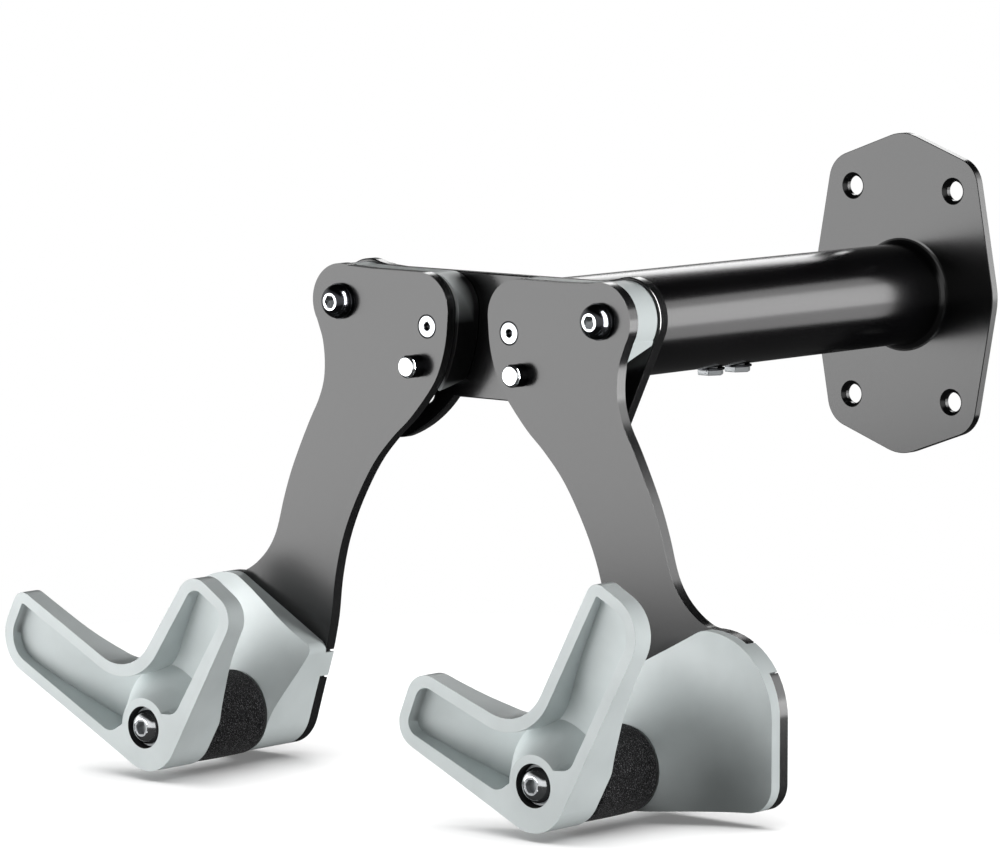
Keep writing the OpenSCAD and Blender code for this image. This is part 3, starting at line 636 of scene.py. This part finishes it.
class WALLMOUNT_OT_hooks(bpy.types.Operator):
    """Rounds the rims and pockets of the V hooks, and paints shade, black, in the sinks round their
    bolts
    """
    bl_idname = "wallmount.hooks"
    bl_label = "Hooks"

    def execute(self, context):
        edge = context.scene.wall_mount_plastic.edge
        for side in SIDES:
            low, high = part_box(side + "_hook_bolt")
            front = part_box(side + "_hook")[0].y
            # The wall and the bottom of the sink round the bolt, black as painted shade
            painted_shade_in_sink = near_axis((low + high) / 2, SINK_RADIUS, front + SINK_DEPTH)
            edged_copy(side + "_hook", made("moulded_nylon"), edge, rims=HOOK_RIMS,
                       inside=0.0, other=made("moulded_rubber"), is_other=painted_shade_in_sink, smooth_angle=18)
        return {"FINISHED"}


def sleeve_profile(outer, crown, front, back):
    """The half section of a foam sleeve, with rounded outer corners and a slight bulge."""
    inner, corner = outer - SLEEVE_WALL, outer - crown
    turns = [math.radians(90 * step / END_STEPS) for step in range(END_STEPS + 1)]
    points = [(inner, front), (corner, front)]
    points += [(corner + crown * math.sin(a), front + crown * (1 - math.cos(a))) for a in turns[1:]]
    for step in range(1, SIDE_STEPS):
        t = step / SIDE_STEPS
        y = front + crown + (back - front - 2 * crown) * t
        points.append((outer + SLEEVE_BULGE * math.sin(math.pi * t), y))
    points += [(corner + crown * math.cos(a), back - crown * (1 - math.sin(a))) for a in turns]
    points.append((inner, back))
    return [Vector((x, y, 0)) for x, y in points]


class WALLMOUNT_OT_foam(bpy.types.Operator):
    """Models the foam sleeves, which bulge a little between shield and hook"""
    bl_idname = "wallmount.foam"
    bl_label = "Foam sleeves"

    def execute(self, context):
        settings = context.scene.wall_mount_foam
        for side in SIDES:
            node = side + "_foam_sleeve"
            low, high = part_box(node)
            centre = (low + high) / 2
            outer = (high.x - low.x) / 2
            bm = bmesh.new()
            verts = [bm.verts.new(p) for p in sleeve_profile(outer, settings.crown, low.y, high.y)]
            count = len(verts)
            edges = [bm.edges.new((verts[i], verts[(i + 1) % count])) for i in range(count)]
            bmesh.ops.spin(bm, geom=verts + edges, cent=(0, 0, 0), axis=(0, 1, 0),
                           angle=2 * math.pi, steps=TURN_STEPS, use_merge=True,
                           use_duplicate=False)
            bmesh.ops.remove_doubles(bm, verts=bm.verts, dist=SEAM_DISTANCE)
            bmesh.ops.recalc_face_normals(bm, faces=bm.faces)
            bmesh.ops.translate(bm, verts=bm.verts, vec=(centre.x, 0, centre.z))
            piece = finish_object(side + "_foam_grip", bm, BODY_OF[node], made("closed_cell_foam"),
                                  smooth_angle=50)
            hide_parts(node)
        return {"FINISHED"}


class WALLMOUNT_OT_fasteners(bpy.types.Operator):
    """Plates the bolts, nuts, washers, bushes and pins"""
    bl_idname = "wallmount.fasteners"
    bl_label = "Fasteners"

    def execute(self, context):
        black, zinc = made("black_nickel_steel"), made("zinc_plated_steel")
        polished, dull = made("polished_steel"), made("tumbled_steel")
        # Each bolt with the materials of its head and of its socket. The socket's material is painted
        # light: on the black pivot bolts a bright ring and hex as painted highlight, on the polished
        # hook bolts a plain grey as painted lit reflection.
        bolts = (("pivot_bolt", black, polished), ("hook_bolt", polished, dull))
        for side in SIDES:
            for part, head, socket in bolts:
                node = side + "_" + part
                low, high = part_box(node)
                # The socket and the ring round it, which carry the painted light
                in_socket = near_axis((low + high) / 2, SOCKET_RADIUS, low.y + SOCKET_DEPTH)
                edged_copy(node, head, HEAD_EDGE, 2, other=socket, is_other=in_socket,
                           smooth_angle=35)
            edged_copy(side + "_pivot_washers", black, HEAD_EDGE, 2)
            edged_copy(side + "_hook_washers", dull, HEAD_EDGE, 2)
            for part in ("pivot_nut", "hook_nut"):
                edged_copy(side + "_" + part, zinc, NUT_EDGE, 2)
            # Painted shade: the pin's side is black, as a dark reflection, and only its front face is
            # polished.
            edged_copy(side + "_lock_pin", black, HEAD_EDGE, 2, other=polished,
                       is_other=lambda face: face.normal.y < -0.4)
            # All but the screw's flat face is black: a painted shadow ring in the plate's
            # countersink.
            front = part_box(side + "_spacer_screw")[0].y
            edged_copy(side + "_spacer_screw", zinc, SCREW_EDGE, 2, other=black,
                       is_other=reaching_behind(front + SCREW_FACE_DEPTH), smooth_angle=25)
            for part in ("pivot_bush", "spacer_nut", "core_tube"):
                dress(side + "_" + part, zinc)
            dress(side + "_pin_ring", made("moulded_rubber"))
            dress(side + "_swivel_washer", made("natural_nylon"))
        edged_copy("lock_bolts", dull, LOCK_BOLT_EDGE, 2)
        edged_copy("lock_washers", black, LOCK_WASHER_EDGE, 2)
        dress("clamp_bar", zinc)
        return {"FINISHED"}


class WALLMOUNT_OT_stage(bpy.types.Operator):
    """Sets the floor, the backdrop, the lamps and the camera"""
    bl_idname = "wallmount.stage"
    bl_label = "Stage"

    def execute(self, context):
        scene = context.scene
        settings = scene.wall_mount_stage
        floor = make_floor(scene, settings)
        make_backdrop(scene, settings)
        make_lamps(scene, settings, floor)
        make_camera(scene, settings)
        scene.view_settings.view_transform = "Standard"
        return {"FINISHED"}


def make_floor(scene, settings):
    """A pale round floor under the hooks, white to the camera, which still shows their shadow."""
    height = CAD_BOX[0].z - settings.floor_gap
    middle = (0, FLOOR_Y, height)
    bm = bmesh.new()
    bmesh.ops.create_circle(bm, cap_ends=True, cap_tris=True, segments=96,
                            radius=settings.floor_radius)
    bmesh.ops.translate(bm, verts=bm.verts, vec=middle)
    mesh = bpy.data.meshes.new("floor")
    bm.to_mesh(mesh)
    bm.free()
    floor = bpy.data.objects.new("floor", mesh)
    floor.visible_shadow = False
    scene.collection.objects.link(floor)
    mesh.materials.append(pale_floor(middle, settings.floor_radius))
    return floor


def pale_floor(middle, edge_radius):
    """Pale studio board."""
    # Seen directly or in a reflection the floor is white except where the object shades it, and it
    # fades to plain white before its edge. To light that bounces it is a dark grey, so that little
    # comes back up, and from below it is clear.
    material, place = start_material("pale_floor")
    path = add_node(material, "ShaderNodeLightPath").outputs
    seen = add_node(material, "ShaderNodeMath", {
        0: path["Is Camera Ray"], 1: path["Is Glossy Ray"]}, operation="MAXIMUM")
    seen = add_node(material, "ShaderNodeMath", {
        0: seen, 1: path["Is Transmission Ray"]}, operation="MAXIMUM")
    glow, share, rim = (
        add_node(material, "ShaderNodeMapRange", {
            "Value": path["Is Camera Ray"], "To Min": mirrored, "To Max": direct})
        for mirrored, direct in (FLOOR_GLOW, FLOOR_SHARE, FLOOR_WHITE))
    soft = add_node(material, "ShaderNodeEmission", {"Color": "#ffffff", "Strength": glow})
    pale = add_node(material, "ShaderNodeBsdfDiffuse", {"Color": share})
    lit = add_node(material, "ShaderNodeAddShader", {0: soft, 1: pale})
    white = add_node(material, "ShaderNodeEmission", {"Color": "#ffffff", "Strength": rim})
    plain = add_node(material, "ShaderNodeBsdfDiffuse", {"Color": "#5a5a5a"})
    offset = add_node(material, "ShaderNodeVectorMath", {0: place, 1: middle}, operation="SUBTRACT")
    radius = add_node(material, "ShaderNodeVectorMath", {0: offset}, operation="LENGTH")
    far = add_node(material, "ShaderNodeMapRange", {
        "Value": radius.outputs["Value"],
        "From Min": FADE_FROM * edge_radius, "From Max": FADE_TO * edge_radius})
    below = add_node(material, "ShaderNodeNewGeometry").outputs["Backfacing"]
    clear = add_node(material, "ShaderNodeBsdfTransparent")
    shown = add_node(material, "ShaderNodeMixShader", {0: far, 1: lit, 2: white})
    above = add_node(material, "ShaderNodeMixShader", {0: seen, 1: plain, 2: shown})
    surface = add_node(material, "ShaderNodeMixShader", {0: below, 1: above, 2: clear})
    add_node(material, "ShaderNodeOutputMaterial", {"Surface": surface})
    return material


def make_backdrop(scene, settings):
    """A world that is white to the camera, white with a darker ceiling, ground and rear wall in
    reflections, and a soft grey fill to all else."""
    world = bpy.data.worlds.new("studio")
    scene.world = world
    world.use_nodes = True
    world.node_tree.nodes.clear()
    path = add_node(world, "ShaderNodeLightPath").outputs
    place = add_node(world, "ShaderNodeTexCoord").outputs["Generated"]
    split = add_node(world, "ShaderNodeSeparateXYZ", {"Vector": place}).outputs
    ceiling, ground, wall = (
        add_node(world, "ShaderNodeMapRange", {
            "Value": split[axis], "From Min": start, "From Max": end, "To Min": first,
            "To Max": last})
        for axis, start, end, first, last in (CEILING, GROUND, REAR_WALL))
    both = add_node(world, "ShaderNodeMath", {0: ceiling, 1: ground}, operation="MULTIPLY")
    brightness = add_node(world, "ShaderNodeMath", {0: both, 1: wall}, operation="MULTIPLY")
    fill, white, mirrored = (
        add_node(world, "ShaderNodeBackground", {"Color": "#ffffff", "Strength": strength})
        for strength in (settings.fill, 1.0, brightness))
    shiny = add_node(world, "ShaderNodeMath", {
        0: path["Is Glossy Ray"], 1: path["Is Transmission Ray"]}, operation="MAXIMUM")
    unseen = add_node(world, "ShaderNodeMixShader", {0: shiny, 1: fill, 2: mirrored})
    surface = add_node(world, "ShaderNodeMixShader", {
        0: path["Is Camera Ray"], 1: unseen, 2: white})
    add_node(world, "ShaderNodeOutputWorld", {"Surface": surface})


def named(scene, words):
    """The mesh objects with one of the words in their name."""
    return [piece for piece in scene.objects
            if piece.type == "MESH" and any(word in piece.name for word in words)]


def lit_group(name, pieces, state):
    """A collection that tells a lamp which pieces it lights or, with EXCLUDE, leaves out."""
    group = bpy.data.collections.new(name)
    for piece in pieces:
        group.objects.link(piece)
    for member in group.collection_objects:
        member.light_linking.link_state = state
    return group


def direction(azimuth, elevation):
    """The direction away from the mount, by azimuth from the front and elevation in degrees."""
    a, e = math.radians(azimuth), math.radians(elevation)
    return Vector((math.sin(a) * math.cos(e), -math.cos(a) * math.cos(e), math.sin(e)))


def make_lamps(scene, settings, floor):
    """Soft lamps round the mount; some light only matte surfaces, some show only in shiny ones."""
    shields = named(scene, LIT_ALONE[THE_SHIELDS])
    groups = {
        THE_FLOOR: lit_group(THE_FLOOR, [floor], "INCLUDE"),
        ALL_BUT_FLOOR: lit_group(ALL_BUT_FLOOR, [floor], "EXCLUDE"),
        ALL_BUT_SHIELDS: lit_group(ALL_BUT_SHIELDS, [floor] + shields, "EXCLUDE"),
    }
    for name, words in LIT_ALONE.items():
        groups[name] = lit_group(name, named(scene, words), "INCLUDE")
    for (name, azimuth, elevation, distance, width, tall, setting, share, matte, shiny,
         group) in LAMPS:
        towards = direction(azimuth, elevation)
        lamp = bpy.data.lights.new(name, "AREA")
        lamp.shape = "RECTANGLE"
        lamp.size, lamp.size_y = width, tall
        lamp.energy = share * getattr(settings, setting) * math.pi * width * tall
        holder = bpy.data.objects.new(name, lamp)
        holder.location = LAMPS_AIM_AT + towards * distance
        holder.rotation_mode = "QUATERNION"
        holder.rotation_quaternion = (-towards).to_track_quat("-Z", "Y")
        holder.visible_camera = False
        holder.visible_diffuse = matte
        holder.visible_glossy = shiny
        scene.collection.objects.link(holder)
        holder.light_linking.receiver_collection = groups[group]


def make_camera(scene, settings):
    """The camera that took the photograph, found from the plates' and tube's outlines."""
    azimuth = math.radians(PHOTO_AZIMUTH)
    right = Vector((math.cos(azimuth), math.sin(azimuth), 0))
    back = direction(PHOTO_AZIMUTH, PHOTO_ELEVATION)
    up = back.cross(right)
    lens = bpy.data.cameras.new("photo_camera")
    lens.lens = settings.lens
    lens.sensor_width = 36
    lens.sensor_fit = "HORIZONTAL"
    lens.clip_start, lens.clip_end = 0.1, 50
    camera = bpy.data.objects.new("photo_camera", lens)
    camera.matrix_world = Matrix((
        (right.x, up.x, back.x, 0), (right.y, up.y, back.y, 0), (right.z, up.z, back.z, 0),
        (0, 0, 0, 1)))
    camera.location = right * PHOTO_RIGHT + up * PHOTO_UP + back * PHOTO_DISTANCE
    scene.collection.objects.link(camera)
    scene.camera = camera


class WALLMOUNT_PT_parts(bpy.types.Panel):
    """Lists the steps that dress the mount, with their settings"""
    bl_label = "Wall mount"
    bl_idname = "WALLMOUNT_PT_parts"
    bl_space_type = "VIEW_3D"
    bl_region_type = "UI"
    bl_category = "Wall mount"

    def draw(self, context):
        for name in GROUPS:
            group = getattr(context.scene, name)
            box = self.layout.box()
            for key in group.__annotations__:
                box.prop(group, key)
        for step in STEPS:
            self.layout.operator("wallmount." + step)


STEPS = ("finishes", "plates", "tubes", "spacers", "shields", "hooks", "foam", "fasteners", "stage")

GROUPS = {
    "wall_mount_paint": WallMountPaint,
    "wall_mount_plastic": WallMountPlastic,
    "wall_mount_foam": WallMountFoam,
    "wall_mount_stage": WallMountStage,
}

CLASSES = (
    WALLMOUNT_OT_finishes, WALLMOUNT_OT_plates, WALLMOUNT_OT_tubes, WALLMOUNT_OT_spacers,
    WALLMOUNT_OT_shields, WALLMOUNT_OT_hooks, WALLMOUNT_OT_foam, WALLMOUNT_OT_fasteners,
    WALLMOUNT_OT_stage, WALLMOUNT_PT_parts)


def register():
    for group in GROUPS.values():
        bpy.utils.register_class(group)
    for name, group in GROUPS.items():
        setattr(bpy.types.Scene, name, bpy.props.PointerProperty(type=group))
    for each in CLASSES:
        bpy.utils.register_class(each)


def unregister():
    for each in reversed(CLASSES):
        bpy.utils.unregister_class(each)
    for name in GROUPS:
        delattr(bpy.types.Scene, name)
    for group in GROUPS.values():
        bpy.utils.unregister_class(group)


def main():
    register()
    for step in STEPS:
        result = getattr(bpy.ops.wallmount, step)()
        if result != {"FINISHED"}:
            raise RuntimeError(step + " did not finish")


if __name__ == "__main__":
    main()
